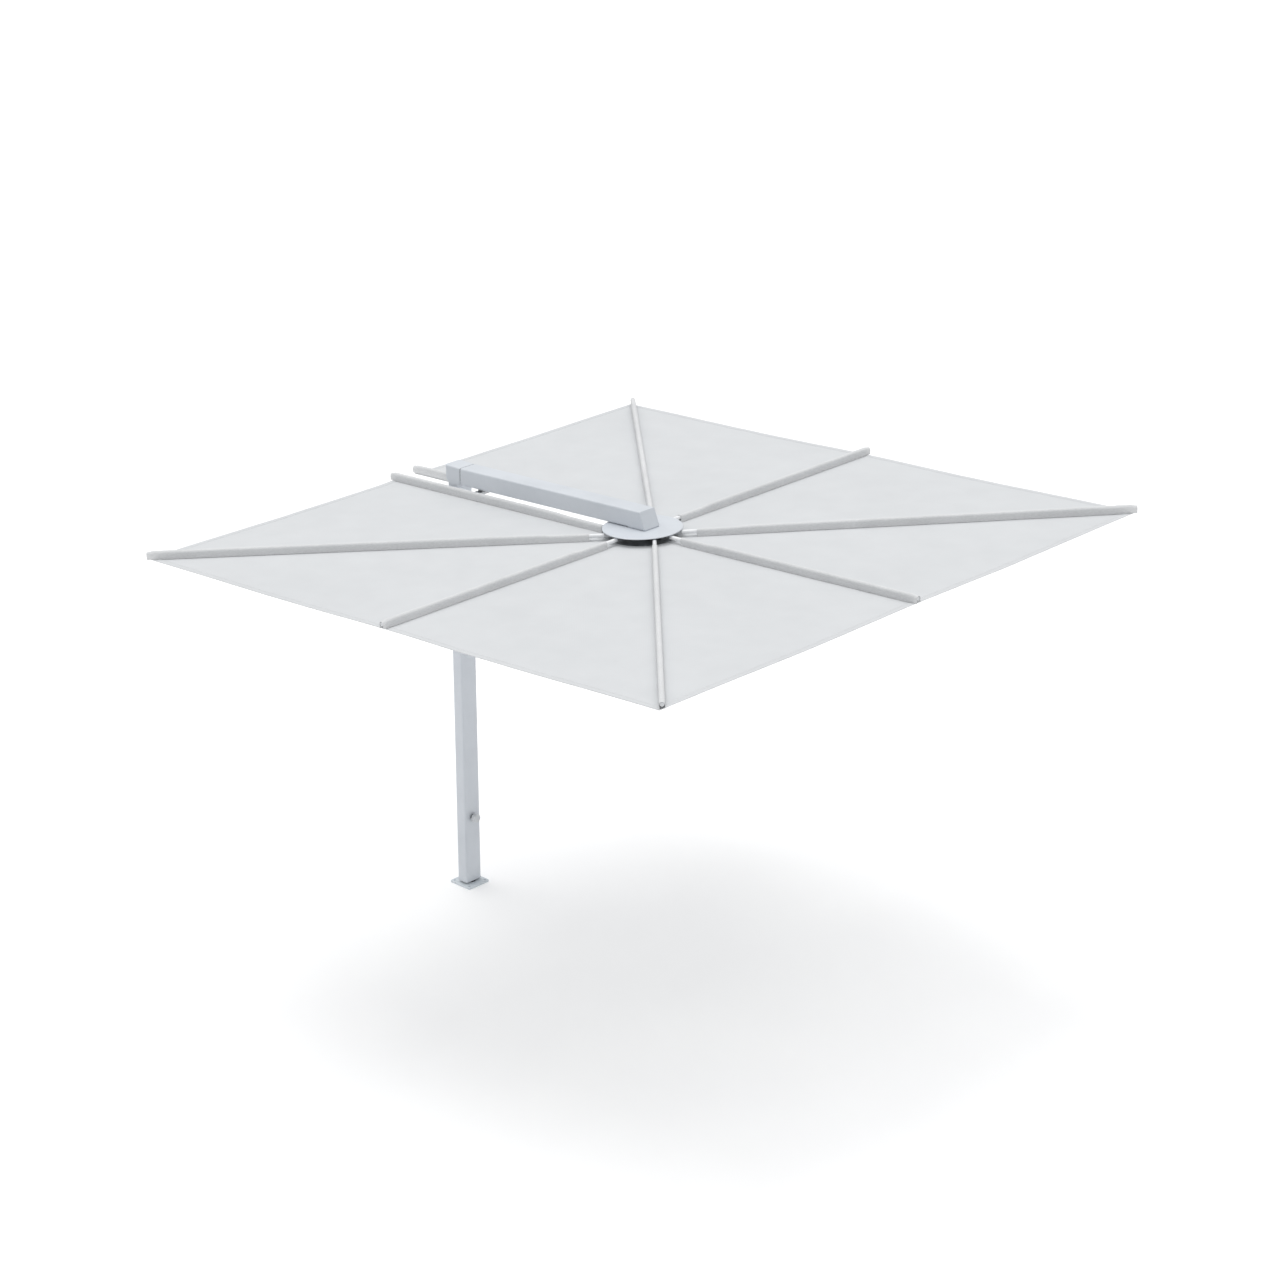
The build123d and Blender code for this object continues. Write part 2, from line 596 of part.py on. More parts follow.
def make_rib(rib, side, suffix):
    line = rib_line(rib, side)
    save(f"{rib.name}{suffix}_root", HUB * line * make_rib_root(rib, side))
    save(f"{rib.name}{suffix}_rod", HUB * line * make_rod(rib))
    save(f"{rib.name}{suffix}_cap", HUB * line * make_cap(rib))
    save(f"{rib.name}{suffix}_panel", HUB * make_panel(rib, side))


def main():
    os.makedirs("parts", exist_ok=True)
    make_base()
    make_mast_tube()
    make_bushes()
    make_knob()
    make_elbow_block()
    make_seam_seal()
    make_elbow_screws()
    make_tilt_clamp()
    make_arm_tube()
    make_arm_root()
    make_arm_nose()
    make_hub()
    make_rib_catch()
    make_rib(CENTRE_RIB, 1, "")
    for rib in WING_RIBS:
        for side_name, side in SIDES:
            make_rib(rib, side, f"_{side_name}")


main()
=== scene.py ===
import json
import math

import bpy
from mathutils import Matrix, Vector, noise


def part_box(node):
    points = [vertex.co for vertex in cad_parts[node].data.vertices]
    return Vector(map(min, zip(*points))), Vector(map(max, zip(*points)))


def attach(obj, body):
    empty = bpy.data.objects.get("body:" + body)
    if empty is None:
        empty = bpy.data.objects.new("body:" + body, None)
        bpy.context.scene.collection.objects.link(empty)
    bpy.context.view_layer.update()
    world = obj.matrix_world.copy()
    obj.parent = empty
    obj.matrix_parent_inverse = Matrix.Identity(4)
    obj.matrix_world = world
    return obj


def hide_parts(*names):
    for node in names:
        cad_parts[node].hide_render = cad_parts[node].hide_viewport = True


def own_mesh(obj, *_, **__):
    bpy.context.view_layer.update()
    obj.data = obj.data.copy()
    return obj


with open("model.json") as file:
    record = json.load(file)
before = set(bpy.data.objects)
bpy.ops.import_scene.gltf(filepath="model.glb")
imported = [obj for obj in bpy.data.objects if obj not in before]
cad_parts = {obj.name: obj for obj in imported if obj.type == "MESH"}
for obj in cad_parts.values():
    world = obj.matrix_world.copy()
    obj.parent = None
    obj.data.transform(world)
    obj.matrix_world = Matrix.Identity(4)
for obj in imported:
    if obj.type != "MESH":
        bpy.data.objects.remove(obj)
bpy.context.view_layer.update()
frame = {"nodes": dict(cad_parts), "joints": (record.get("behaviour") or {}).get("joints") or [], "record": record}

# ---- Sizes, in metres ----
FABRIC_THICK = 0.0012
FABRIC_LEVEL = 0.0              # height of the cloth over the hub frame's origin
HOLE_RADIUS = 0.151             # opening of the cloth at the hub
MID_SAG = 0.005                 # how far the cloth hangs halfway between two ribs
RIPPLE = 0.0011
HEM_WIDTH = 0.028
HEM_TOP = 0.0017                # a hem's face over the middle of the cloth
BINDING_WIDTH = 0.030
UNDER_ONLY = FABRIC_THICK / 4   # top of a band that only shows from below
ROD_HEIGHT = 0.022              # rod centre over the fabric
ROD_OVERHANG = 0.012            # the cap's end past the fabric
SLEEVE_HALF = 0.0117
SLEEVE_DOME = 0.0109            # radius of the sleeve over the rod
SLEEVE_FLANGE = 0.0022
SLEEVE_WALL = 0.0007
SIDE_BULGE = 0.0003             # how far a sleeve's side bows out below the rod
SLEEVE_START = 0.230
GUARD_START = 0.168             # the same for the two ribs beside the mast
LOW_REACH = 0.37                # a sleeve lies lower up to here, so that it folds in under the disc
HIGH_REACH = 0.46
LOOSE = 0.0042                  # how much higher it stands further out
SLEEVE_OVERHANG = 0.013
SLEEVE_TAPER = 0.030
TIP_DOME = 0.0103
DIAGONAL_TURN = 1.0             # degrees that a diagonal rib is turned past 45 and 135
DISC_MIDDLE = 0.0375            # middle of the hub's top disc over the fabric
PANEL_ROWS = 64                 # from the hub to the hem
PANEL_COLUMNS = 20              # in each half slice
SLEEVE_STEP = 0.006
FOLDED_WIDTH = 0.014            # share of a panel's width left when the canopy is folded
FOLDED_SLEEVE = 0.84            # share of a sleeve's width left, so that folded sleeves lie side by side
GATHER_DEPTH = 0.0010           # the three parts of a sleeve's puckering
DENT_DEPTH = 0.0008
CREASE_DEPTH = 0.0004
SIDE_PUCKER = 0.3               # share of the puckering left on a sleeve's sides


# ---- The frame's own places ----

def joint(name):
    """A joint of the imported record."""
    return next(j for j in frame["joints"] if j["name"] == name)


def hub_frame():
    """Matrix of the hub: origin at the canopy's centre, x along the arm, z off the cloth."""
    low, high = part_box("hub_disc")
    up = Vector(joint("mast_rib_right_fold")["axis"]).normalized()
    along = Vector((0, 1, 0)).cross(up)
    origin = (low + high) / 2 - up * DISC_MIDDLE
    turn = Matrix((along, (0, 1, 0), up)).transposed()
    return Matrix.Translation(origin) @ turn.to_4x4()


HUB = hub_frame()
TO_HUB = HUB.inverted()
HALF_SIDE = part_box("side_rib_left_cap")[1].y - ROD_OVERHANG


def middle(node):
    """Middle of a node's box, in the hub frame."""
    low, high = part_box(node)
    return TO_HUB @ ((low + high) / 2)


class Rib:
    """One rib: the line it lies on, and the slice of fabric on both sides of it."""

    def __init__(self, name, side, angle, cloth, body, fold):
        self.name = name
        self.side = side
        self.guard = name.startswith("mast")
        self.cloth = [math.radians(end) for end in cloth]
        self.sleeve_start = GUARD_START if self.guard else SLEEVE_START
        self.body = body
        self.fold = fold
        direction = side * math.radians(angle)
        along = Vector((math.cos(direction), math.sin(direction)))
        spot = middle(f"{name}_rod").xy
        foot = spot - along * spot.dot(along)
        self.along, self.foot = tuple(along), tuple(foot)
        self.line = Matrix.Translation((*foot, 0)) @ Matrix.Rotation(direction, 4, "Z")
        self.reach = min((math.copysign(HALF_SIDE, step) - start) / step
                         for step, start in zip(along, foot) if abs(step) > 0.01)

    def off_line(self, x, y):
        """Distance of a point of the hub plane from the rib's line, or a long way if it's behind the hub."""
        x, y = x - self.foot[0], y - self.foot[1]
        if x * self.along[0] + y * self.along[1] < 0:
            return 9.0
        return abs(y * self.along[0] - x * self.along[1])

    def to_row(self, point):
        """A point of the rib's own frame, in the row frame."""
        return HUB @ (self.line @ Vector(point))

    def across(self):
        """The direction across the rib, in the row frame."""
        return (HUB.to_3x3() @ self.line.to_3x3()) @ Vector((0, 1, 0))


def all_ribs():
    """The centre rib and both wings: each rib's direction, and the two ends of its slice of cloth."""
    ribs = [Rib("centre_rib", 1, 0, (-22.5, 22.5), "arm", None)]
    wing = (("front_rib", 45 + DIAGONAL_TURN, (22.5, 67.5)), ("side_rib", 90, (67.5, 112.5)),
            ("rear_rib", 135 + DIAGONAL_TURN, (112.5, 153.5)), ("mast_rib", 180, (153.5, 180)))
    for side, side_name in ((1, "left"), (-1, "right")):
        for kind, angle, cloth in wing:
            name = f"{kind}_{side_name}"
            ribs.append(Rib(name, side, angle, cloth, name, f"{name}_fold"))
    return ribs


RIBS = all_ribs()
SLOT_HALF = abs(RIBS[-1].foot[1]) - SLEEVE_HALF


# ---- Sleeve section ----

def sleeve_profile(dome, sides):
    """Section of a sleeve from one sewn flange over the rod to the other: across, height and
    distance round the cloth."""
    foot = SLEEVE_HALF - SLEEVE_FLANGE
    points = [(-SLEEVE_HALF, 0.0016), (-foot - 0.0006, 0.0018)]
    for step in range(6):
        share = step / 6
        bulge = math.sin(math.pi * share) * SIDE_BULGE
        points.append((-foot - (dome - foot) * share - bulge, 0.0024 + (ROD_HEIGHT - 0.0024) * share))
    for degrees in (0, 15, 30, 45, 60, 75, 86, 90):
        angle = math.radians(degrees)
        points.append((-dome * math.cos(angle), ROD_HEIGHT + dome * math.sin(angle)))
    points += [(-across, height) for across, height in reversed(points[:-1])]
    run = 0.0
    spots = []
    for before, spot in zip(points[:1] + points, points):
        run += math.dist(before, spot)
        spots.append((*spot, run))
    spots = [(across, height, place - run / 2) for across, height, place in spots]
    if sides == "both":
        return spots
    half = len(spots) // 2
    return spots[half:] if sides == "left" else spots[:half + 1]


SLEEVE_GIRTH = 2 * sleeve_profile(SLEEVE_DOME, "both")[-1][2]


# ---- Materials ----

class Shader:
    """A node material with one Principled shader, built up by short calls."""

    def __init__(self, name):
        self.material = bpy.data.materials.new(name)
        self.material.use_nodes = True
        self.tree = self.material.node_tree
        self.shader = self.tree.nodes["Principled BSDF"]
        self.coords = self.node("ShaderNodeTexCoord").outputs["Object"]

    def node(self, kind, **settings):
        made = self.tree.nodes.new(kind)
        for key, value in settings.items():
            setattr(made, key, value)
        return made

    def join(self, source, target):
        self.tree.links.new(source, target)

    def set(self, **values):
        """Constants on the shader's own sockets; underscores stand for spaces."""
        for key, value in values.items():
            self.shader.inputs[key.replace("_", " ")].default_value = value
        return self

    def noise(self, scale, detail=3.0, roughness=0.55, coords=None, stretch=None):
        texture = self.node("ShaderNodeTexNoise")
        texture.inputs["Scale"].default_value = scale
        texture.inputs["Detail"].default_value = detail
        texture.inputs["Roughness"].default_value = roughness
        source = coords or self.coords
        if stretch:
            mapping = self.node("ShaderNodeMapping")
            mapping.inputs["Scale"].default_value = stretch
            self.join(source, mapping.inputs["Vector"])
            source = mapping.outputs["Vector"]
        self.join(source, texture.inputs["Vector"])
        return texture.outputs["Fac"]

    def math(self, operation, a, b=None, clamp=False):
        made = self.node("ShaderNodeMath", operation=operation, use_clamp=clamp)
        for socket, value in zip(made.inputs, (a, b)):
            if value is None:
                continue
            if isinstance(value, (int, float)):
                socket.default_value = value
            else:
                self.join(value, socket)
        return made.outputs[0]

    def ramp(self, factor, low, high, stops=(0.3, 0.7)):
        """Colour from low to high as factor goes from one stop to the other."""
        made = self.node("ShaderNodeValToRGB")
        ends = made.color_ramp.elements
        for end, stop, colour in zip(ends, stops, (low, high)):
            end.position = stop
            end.color = (*colour, 1)
        self.join(factor, made.inputs["Fac"])
        return made.outputs["Color"]

    def mix(self, factor, a, b, blend="MIX"):
        made = self.node("ShaderNodeMix", data_type="RGBA", blend_type=blend)
        for socket, value in ((made.inputs[0], factor), (made.inputs[6], a), (made.inputs[7], b)):
            if isinstance(value, (int, float)):
                socket.default_value = value
            elif isinstance(value, tuple):
                socket.default_value = (*value, 1)
            else:
                self.join(value, socket)
        return made.outputs[2]

    def spread(self, factor, low, high):
        """A plain number from low to high."""
        made = self.node("ShaderNodeMapRange")
        made.inputs["From Min"].default_value = 0.3
        made.inputs["From Max"].default_value = 0.7
        made.inputs["To Min"].default_value = low
        made.inputs["To Max"].default_value = high
        self.join(factor, made.inputs["Value"])
        return made.outputs["Result"]

    def bump(self, height, distance, strength=1.0, under=None):
        made = self.node("ShaderNodeBump")
        made.inputs["Strength"].default_value = strength
        made.inputs["Distance"].default_value = distance
        self.join(height, made.inputs["Height"])
        if under:
            self.join(under, made.inputs["Normal"])
        return made.outputs["Normal"]

    def finish(self, colour=None, roughness=None, normal=None):
        for source, socket in ((colour, "Base Color"), (roughness, "Roughness"), (normal, "Normal")):
            if source is not None:
                self.join(source, self.shader.inputs[socket])
        return self.material


def weave(shader, pitch, coords):
    """Plain weave: two crossing wave patterns, one thread over the other."""
    waves = []
    for direction in ("X", "Y"):
        wave = shader.node("ShaderNodeTexWave", wave_type="BANDS", bands_direction=direction,
                           wave_profile="SIN")
        wave.inputs["Scale"].default_value = 1 / pitch / 20
        wave.inputs["Distortion"].default_value = 0.4
        wave.inputs["Detail"].default_value = 1.0
        shader.join(coords, wave.inputs["Vector"])
        waves.append(wave.outputs["Fac"])
    return shader.math("MULTIPLY", *waves)


def stitch_row(shader, place, run, at, width, pitch):
    """1 on the dashes of a row of stitches where place is at, and 0 elsewhere."""
    off = shader.math("ABSOLUTE", shader.math("SUBTRACT", place, at))
    near = shader.math("LESS_THAN", off, width)
    phase = shader.math("FRACT", shader.math("DIVIDE", run, pitch))
    dash = shader.math("LESS_THAN", phase, 0.68)
    return shader.math("MULTIPLY", near, dash)


def canvas(name, light, dark, rows, fleck=0.10):
    """Acrylic canvas: weave, slubs, slow mottling, and rows of stitches across its UV's second axis."""
    shader = Shader(name)
    uv = shader.node("ShaderNodeUVMap", uv_map="cloth").outputs["UV"]
    threads = weave(shader, 0.0011, uv)
    slub = shader.noise(260, 2.0, coords=uv, stretch=(0.25, 1.0, 1.0))
    mottle = shader.noise(9, 4.0)
    cloud = shader.noise(2.2, 2.0)
    colour = shader.ramp(shader.math("ADD", shader.math("MULTIPLY", mottle, 0.55),
                                     shader.math("MULTIPLY", cloud, 0.45)), dark, light)
    colour = shader.mix(0.10, colour, shader.ramp(threads, dark, light, (0.0, 0.8)))
    colour = shader.mix(fleck, colour, shader.ramp(slub, dark, light, (0.35, 0.65)))
    split = shader.node("ShaderNodeSeparateXYZ")
    shader.join(uv, split.inputs[0])
    along, place = split.outputs["X"], split.outputs["Y"]
    thread = None
    for at in rows:
        row = stitch_row(shader, place, along, at, 0.0006, 0.0045)
        thread = row if thread is None else shader.math("MAXIMUM", thread, row)
    normal = shader.bump(threads, 0.00018, 0.5)
    normal = shader.bump(slub, 0.0003, 0.35, normal)
    if thread is not None:
        colour = shader.mix(thread, colour, (0.80, 0.81, 0.82))
        normal = shader.bump(thread, 0.0005, 0.8, normal)
    shader.set(Sheen_Weight=0.15, Sheen_Roughness=0.6, Specular_IOR_Level=0.2)
    return shader.finish(colour, shader.spread(mottle, 0.82, 0.94), normal)


def powder_coat(name, colour, shade, roughness=(0.30, 0.42)):
    """Satin powder coat: orange peel, faint clouding, fine grain."""
    shader = Shader(name)
    peel = shader.noise(420, 2.0, 0.5)
    cloud = shader.noise(6, 4.0)
    grain = shader.noise(1800, 1.0)
    tone = shader.ramp(cloud, shade, colour, (0.3, 0.6))
    tone = shader.mix(0.05, tone, shader.ramp(grain, shade, colour, (0.3, 0.7)))
    normal = shader.bump(peel, 0.00025, 0.25)
    normal = shader.bump(grain, 0.00006, 0.2, normal)
    shader.set(Coat_Weight=0.15, Coat_Roughness=0.25)
    return shader.finish(tone, shader.spread(cloud, *roughness), normal)


def moulded(name, colour, shade, roughness=(0.45, 0.6), grain_size=900):
    """Moulded plastic with a fine spark-eroded grain."""
    shader = Shader(name)
    grain = shader.noise(grain_size, 2.0)
    cloud = shader.noise(30, 3.0)
    tone = shader.ramp(cloud, shade, colour)
    return shader.finish(tone, shader.spread(cloud, *roughness), shader.bump(grain, 0.00015, 0.4))


def metal(name, colour, shade, roughness=(0.28, 0.5), stretch=None):
    """Bare metal, brushed along one way where stretch says so."""
    shader = Shader(name)
    brush = shader.noise(300, 3.0, stretch=stretch)
    cloud = shader.noise(25, 3.0)
    tone = shader.ramp(cloud, shade, colour)
    shader.set(Metallic=1.0)
    return shader.finish(tone, shader.spread(brush, *roughness), shader.bump(brush, 0.0001, 0.25))


def fibreglass(name):
    """Pultruded rod: white resin with faint fibres and a smooth gel surface."""
    shader = Shader(name)
    fibres = shader.noise(700, 3.0, 0.6)
    cloud = shader.noise(14, 2.0)
    tone = shader.ramp(cloud, (0.80, 0.82, 0.84), (0.92, 0.93, 0.94))
    shader.set(Coat_Weight=0.3, Coat_Roughness=0.15)
    return shader.finish(tone, shader.spread(fibres, 0.22, 0.34), shader.bump(fibres, 0.00008, 0.2))


def make_materials():
    white = (0.655, 0.690, 0.735)
    white_low = (0.615, 0.650, 0.695)
    cloth = (0.645, 0.660, 0.675)
    cloth_low = (0.60, 0.615, 0.63)
    return {
        "paint": powder_coat("satin_paint", white, white_low),
        "base_steel": powder_coat("base_paint", (0.70, 0.75, 0.79), (0.58, 0.63, 0.67), (0.36, 0.5)),
        "fastener": metal("stainless", (0.62, 0.62, 0.63), (0.48, 0.48, 0.50)),
        "black_plastic": moulded("black_nylon", (0.028, 0.029, 0.032), (0.018, 0.018, 0.020)),
        "grey_plastic": moulded("grey_cap", (0.66, 0.68, 0.70), (0.56, 0.58, 0.60)),
        "bush": moulded("bush_acetal", (0.82, 0.81, 0.78), (0.70, 0.69, 0.66)),
        "fibreglass": fibreglass("white_rod"),
        "cast_aluminium": metal("cast_aluminium", (0.58, 0.59, 0.60), (0.44, 0.45, 0.46), (0.45, 0.62)),
        "canvas": canvas("canopy_canvas", cloth, cloth_low, (-SLEEVE_HALF - 0.003, SLEEVE_HALF + 0.003)),
        "sleeve": canvas("sleeve_canvas", (0.74, 0.75, 0.76), (0.60, 0.61, 0.62),
                         (-SLEEVE_GIRTH / 2 + 0.001, SLEEVE_GIRTH / 2 - 0.001), 0.45),
        "hem": canvas("hem_canvas", (0.645, 0.660, 0.675), (0.60, 0.615, 0.63),
                      (0.0035, HEM_WIDTH - 0.004)),
    }


MATERIALS = make_materials()


def paint_cad():
    """Every CAD node that stays shown takes the material of its slot in the record."""
    for part in frame["record"]["subparts"]:
        node = frame["nodes"][part["node"]]
        material = MATERIALS[part["material_slot"]]
        node.data.materials.clear()
        node.data.materials.append(material)


# ---- Cloth surface ----

def rib_distance(x, y):
    """0 on a rib's line and 1 halfway between two ribs, over the whole canopy."""
    near, further = sorted(rib.off_line(x, y) for rib in RIBS)[:2]
    return 2 * near / (near + further)


def cloth_height(x, y):
    """Height of the cloth over the hub plane: a slight sag between the ribs, and soft ripples."""
    share = (1 - math.cos(math.pi * rib_distance(x, y))) / 2
    radius = math.hypot(x, y)
    sag = MID_SAG * share * min(radius / HALF_SIDE, 1.0)
    place = Vector((x * 5.5, y * 5.5, 3.7))
    ripple = RIPPLE * noise.noise(place) + 0.4 * RIPPLE * noise.noise(place * 2.7)
    return FABRIC_LEVEL - sag + ripple * (0.35 + 0.65 * share)


def on_cloth(x, y, lift=0.0):
    """A point over the cloth, in the row frame."""
    return HUB @ Vector((x, y, cloth_height(x, y) + lift))


def mesh_object(name, points, faces, uvs, material, smooth=True):
    """A mesh with one UV pair for each point."""
    mesh = bpy.data.meshes.new(name)
    mesh.from_pydata([tuple(p) for p in points], [], faces)
    layer = mesh.uv_layers.new(name="cloth")
    for corner in mesh.loops:
        layer.data[corner.index].uv = uvs[corner.vertex_index]
    mesh.polygons.foreach_set("use_smooth", [smooth] * len(mesh.polygons))
    mesh.materials.append(material)
    mesh.update()
    made = bpy.data.objects.new(name, mesh)
    bpy.context.scene.collection.objects.link(made)
    return made


def grid_faces(rows, columns, start=0, flip=False, wrap=False):
    """Quads over a grid of points stored row by row."""
    faces = []
    for row in range(rows - 1):
        for column in range(columns if wrap else columns - 1):
            a = start + row * columns + column
            b = start + row * columns + (column + 1) % columns
            quad = (a, b, b + columns, a + columns)
            faces.append(quad[::-1] if flip else quad)
    return faces


def soft(piece, rib, keep, fold=None):
    """A fabric piece rides on its rib's body, with a mesh of its own."""
    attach(piece, rib.body)
    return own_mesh(piece, fold or rib.fold, axis=rib.across(), anchor=rib.to_row((0, 0, 0)), keep=keep)


# ---- Panels ----

def slice_ends(rib, share):
    """Inner and outer end, in the hub plane, of the cloth's line at share across a rib's slice.

    share runs from -1 to 1 across a whole slice. The slice beside the mast starts at the
    line shared with the rear rib, at -1, and ends at the edge of the mast's slot, at 1.
    """
    mix = (share + 1) / 2
    if not rib.guard:
        if rib.side < 0:
            mix = 1 - mix
        angle = rib.side * (rib.cloth[0] + (rib.cloth[1] - rib.cloth[0]) * mix)
        x, y = math.cos(angle), math.sin(angle)
        outer = HALF_SIDE / max(abs(x), abs(y))
        return (x * HOLE_RADIUS, y * HOLE_RADIUS), (x * outer, y * outer)
    start = rib.cloth[0]
    end = math.pi - math.asin(SLOT_HALF / HOLE_RADIUS)
    angle = start + (end - start) * mix
    y_outer = math.tan(math.pi - start) * HALF_SIDE * (1 - mix) + SLOT_HALF * mix
    inner = (math.cos(angle) * HOLE_RADIUS, rib.side * math.sin(angle) * HOLE_RADIUS)
    return inner, (-HALF_SIDE, rib.side * y_outer)


def blend_points(a, b, share):
    return a[0] + (b[0] - a[0]) * share, a[1] + (b[1] - a[1]) * share


def panel_shares(first, last, columns):
    return [first + (last - first) * i / columns for i in range(columns + 1)]


def rib_uv(rib, x, y):
    """UV in metres: along the rib and across it."""
    local = rib.line.inverted() @ Vector((x, y, 0))
    return local.x, local.y


def make_panel(rib, first, last, name, fold=None):
    """The flat cloth on one rib, between two shares of its slice."""
    columns = PANEL_COLUMNS * (2 if last - first > 1.5 else 1)
    shares = panel_shares(first, last, columns)
    points, uvs = [], []
    for row in range(PANEL_ROWS + 1):
        for share in shares:
            x, y = blend_points(*slice_ends(rib, share), row / PANEL_ROWS)
            points.append(on_cloth(x, y))
            uvs.append(rib_uv(rib, x, y))
    flip = rib.guard and rib.side < 0
    faces = grid_faces(PANEL_ROWS + 1, len(shares), flip=flip)
    piece = mesh_object(name, points, faces, uvs, MATERIALS["canvas"])
    thicken(piece, FABRIC_THICK, 0.0)
    return soft(piece, rib, FOLDED_WIDTH, fold)


def thicken(piece, thickness, offset):
    """Give a sheet its thickness, with crisp edges all round it."""
    mesh = piece.data
    uses = [0] * len(mesh.edges)
    for corner in mesh.loops:
        uses[corner.edge_index] += 1
    mesh.edges.foreach_set("use_edge_sharp", [count == 1 for count in uses])
    modifier = piece.modifiers.new("thickness", "SOLIDIFY")
    modifier.thickness = thickness
    modifier.offset = offset
    modifier.use_even_offset = False


# ---- Trim: hems and bindings ----

def band_profile(width, top):
    """Section of a folded band: distance in from the cloth's edge, and height over the cloth.

    top is its height over the cloth's middle; a band that only shows from below stays within it."""
    def face(rise):
        return [(width, min(FABRIC_THICK / 2, rise)), (width - 0.001, rise), (0.0035, rise),
                (0.0012, rise * 1.1), (-0.0004, rise * 0.6)]
    return face(top) + [(inward, -height) for inward, height in reversed(face(HEM_TOP))]


def make_band(name, rib, edge, inward, width, fold=None, top=HEM_TOP):
    """A band folded over the cloth's edge. edge is a run of points in the hub plane, and
    inward(point, distance) moves one of them onto the cloth."""
    profile = band_profile(width, top)
    points, uvs = [], []
    run = 0.0
    before = edge[0]
    for spot in edge:
        run += math.dist(before, spot)
        before = spot
        for distance, lift in profile:
            x, y = inward(spot, distance)
            points.append(on_cloth(x, y, lift))
            uvs.append((run, distance))
    faces = grid_faces(len(edge), len(profile), wrap=True)
    faces.append(tuple(range(len(profile))))
    faces.append(tuple(range(len(points) - 1, len(points) - 1 - len(profile), -1)))
    piece = mesh_object(name, points, faces, uvs, MATERIALS["hem"])
    rims = {i for cap in piece.data.polygons[-2:] for i in cap.edge_keys}
    for line in piece.data.edges:
        line.use_edge_sharp = line.key in rims
    return soft(piece, rib, FOLDED_WIDTH, fold)


def make_trim(rib, first, last, label, fold=None):
    """Outer hem, inner binding and, beside the mast, the slot's hem."""
    shares = panel_shares(first, last, 2 * PANEL_COLUMNS)
    ends = [slice_ends(rib, share) for share in shares]
    bands = [
        make_band(f"hem_{label}", rib, [outer for _, outer in ends],
                  lambda p, d: (p[0] * (1 - d / HALF_SIDE), p[1] * (1 - d / HALF_SIDE)), HEM_WIDTH, fold),
        make_band(f"binding_{label}", rib, [inner for inner, _ in ends],
                  lambda p, d: (p[0] * (1 + d / HOLE_RADIUS), p[1] * (1 + d / HOLE_RADIUS)),
                  BINDING_WIDTH, fold, UNDER_ONLY),
    ]
    if rib.guard:
        inner, outer = slice_ends(rib, 1.0)
        edge = [blend_points(inner, outer, i / PANEL_ROWS) for i in range(PANEL_ROWS + 1)]
        bands.append(make_band(f"slot_hem_{label}", rib, edge,
                               lambda p, d: (p[0], p[1] + rib.side * d), SLEEVE_HALF, fold,
                               UNDER_ONLY))
    return bands


# ---- Sleeves ----

def ease(value, low, high):
    """0 below low, 1 above high, and a smooth step between."""
    share = min(max((value - low) / (high - low), 0.0), 1.0)
    return share * share * (3 - 2 * share)


def pucker(along, around, seed):
    """How far the sleeve's cloth stands out: short gathers across it and longer dents along it."""
    gathers = noise.noise(Vector((along * 62, around * 26, seed)))
    dents = noise.noise(Vector((along * 13, around * 40, seed + 9)))
    creases = noise.noise(Vector((along * 120, around * 60 + along * 40, seed + 5)))
    return GATHER_DEPTH * gathers + DENT_DEPTH * dents + CREASE_DEPTH * creases


def make_sleeve(rib, sides, name, seed, fold=None):
    """Sleeve of cloth sewn over the rod, from beside the hub to just past the hem."""
    start, end = rib.sleeve_start, rib.reach + SLEEVE_OVERHANG
    rings = int((end - start) / SLEEVE_STEP)
    points, uvs = [], []
    columns = 0
    for ring in range(rings + 1):
        along = start + (end - start) * ring / rings
        taper = ease(along, end - SLEEVE_TAPER, end)
        loose = LOOSE * ease(along, LOW_REACH, HIGH_REACH) * (1 - taper)
        dome = SLEEVE_DOME + (TIP_DOME - SLEEVE_DOME) * taper
        profile = sleeve_profile(dome, sides)
        columns = len(profile)
        on_hem = ease(along, rib.reach - HEM_WIDTH - 0.004, rib.reach - HEM_WIDTH)
        smooth = ease(along, start, start + 0.06) * (1 - 0.8 * taper)
        for across, height, place in profile:
            out = pucker(along, place, seed) * min(height / 0.006, 1.0) * smooth
            flat = rib.line @ Vector((min(along, rib.reach), across, 0))
            level = cloth_height(flat.x, flat.y) + on_hem * (HEM_TOP - FABRIC_THICK / 2)
            level *= 1 - min(height / ROD_HEIGHT, 1.0)
            rise = max(height - ROD_HEIGHT, 0.0) / dome
            height += level + out * rise + loose * min(height / ROD_HEIGHT, 1.0)
            spread = math.copysign(out * SIDE_PUCKER * (1 - rise), across)
            points.append(rib.to_row((along, across + spread, height)))
            uvs.append((along, place))
    faces = grid_faces(rings + 1, columns)
    piece = mesh_object(name, points, faces, uvs, MATERIALS["sleeve"])
    thicken(piece, SLEEVE_WALL, -1.0)
    return soft(piece, rib, FOLDED_SLEEVE, fold)


def make_fabric():
    """Every panel, hem, binding and sleeve, each standing for its rib's soft solid."""
    for seed, rib in enumerate(RIBS):
        if rib.name == "centre_rib":
            parts = [(0.0, 1.0, "left", "front_rib_left_fold"), (-1.0, 0.0, "right", "front_rib_right_fold")]
        else:
            parts = [(-1.0, 1.0, "both", None)]
        for first, last, sides, fold in parts:
            label = rib.name if sides == "both" else f"{rib.name}_{sides}"
            panel = make_panel(rib, first, last, f"canopy_{label}", fold)
            trims = make_trim(rib, first, last, label, fold)
            sleeve = make_sleeve(rib, sides, f"sleeve_{label}", seed * 3.1, fold)
            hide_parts(f"{rib.name}_panel")


# ---- Stage ----

FLOOR_REACH = 60.0
FLOOR_GLOW = 0.17
SKY_LOW = 0.24
SKY_HIGH = 1.26
KEY_STRENGTH = 0.62
RIM_STRENGTH = 0.30

